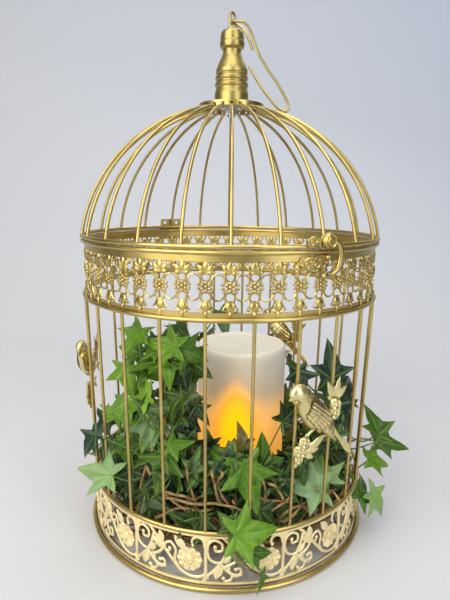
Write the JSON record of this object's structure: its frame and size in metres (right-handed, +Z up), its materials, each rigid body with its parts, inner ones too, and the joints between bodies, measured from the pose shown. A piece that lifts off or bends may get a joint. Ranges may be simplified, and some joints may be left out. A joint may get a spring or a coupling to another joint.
{
  "type": "birdcage wedding card holder",
  "caption": "Round wire birdcage card holder with a hinged domed lid, front latch, turned finial with hanging hook, pierced bands, cast birds, candle and ivy garland.",
  "frame": {"origin": "centre of the base ring at table level, on the cage's axis", "axes": "+Z up along the cage's axis, -Y towards the latch at the front, +Y towards the hinge at the back, +X to the right seen from the latch side"},
  "size_m": [0.2745, 0.2685, 0.4178],
  "materials": {
    "gold_satin": "satin champagne gold paint over steel wire and sheet",
    "pale_gold": "satin pale gold paint with brushed highlights",
    "turned_brass": "satin brass plate with fine turning lines",
    "zinc_steel": "bright zinc plate",
    "floor_sheet": "satin grey paint",
    "ivory_wax": "smooth wax skin with a soft sheen",
    "ivory_plastic": "moulded, fine texture",
    "flame_diffuser": "frosted, lit from inside",
    "lamp": "clear lens over a lit chip",
    "cell_jacket": "printed steel can, plain",
    "black_plastic": "moulded",
    "vine_stem": "wrapped floral wire, dull brown",
    "ivy_leaf": "printed polyester leaf with raised veins"
  },
  "bodies": {
    "root": {"base_ring": "gold_satin", "base_inner_ring": "gold_satin", "floor_plate": "floor_sheet", "lower_band": "pale_gold", "foot_ring": "gold_satin", "side_bars": "gold_satin", "upper_band_ring": "gold_satin", "upper_band": "gold_satin", "rim_ring": "gold_satin", "hinge_lower_leaf": "gold_satin", "hinge_pin": "gold_satin", "hinge_rivets": "gold_satin", "catch_plate": "gold_satin", "bird_front": "gold_satin", "bird_right": "gold_satin", "bird_left": "gold_satin", "vine_ring": "vine_stem", "vine_stems": "vine_stem", "ivy_leaves_left": "ivy_leaf", "ivy_leaves_front": "ivy_leaf", "ivy_leaves_right": "ivy_leaf", "ivy_leaves_back": "ivy_leaf"},
    "lid": {"lid_ring": "gold_satin", "dome_wires": "gold_satin", "crown_plate": "gold_satin", "finial": "turned_brass", "finial_stud": "zinc_steel", "finial_washer": "zinc_steel", "finial_nut": "zinc_steel", "hanging_eye": "turned_brass", "hinge_upper_leaf": "gold_satin", "latch_plate": "gold_satin", "latch_rivet": "gold_satin"},
    "hook": {"hanging_hook": "turned_brass"},
    "latch": {"latch_hook": "gold_satin"},
    "candle": {"candle_shell": "ivory_wax", "candle_housing": "ivory_plastic", "candle_flame": "flame_diffuser", "candle_led": "lamp", "candle_batteries": "cell_jacket", "candle_contacts": "zinc_steel"},
    "battery_cover": {"battery_cover": "ivory_plastic"},
    "switch": {"candle_switch": "black_plastic"}
  },
  "joints": [
    {"name": "lid_hinge", "type": "hinge", "parent": "root", "child": "lid", "pos_m": [0, 0.1247, 0.24325], "axis": [-1, 0, 0], "range_deg": [0, 100]},
    {"name": "latch_swing", "type": "hinge", "parent": "lid", "child": "latch", "pos_m": [0, -0.1257, 0.2486], "axis": [0, -1, 0], "range_deg": [0, 80]},
    {"name": "hook_swing", "type": "hinge", "parent": "lid", "child": "hook", "pos_m": [0.00164, -0.00095, 0.4102], "axis": [-0.5, -0.866, 0], "range_deg": [0, 40]},
    {"name": "candle_lift", "type": "slide", "parent": "root", "child": "candle", "axis": [0, 0, 1], "range_m": [0, 0.12]},
    {"name": "battery_cover_twist", "type": "hinge", "parent": "candle", "child": "battery_cover", "pos_m": [0.007, -0.011, 0.004], "axis": [0, 0, -1], "range_deg": [0, 30]},
    {"name": "switch_slide", "type": "slide", "parent": "candle", "child": "switch", "axis": [1, 0, 0], "range_m": [0, 0.006]}
  ]
}
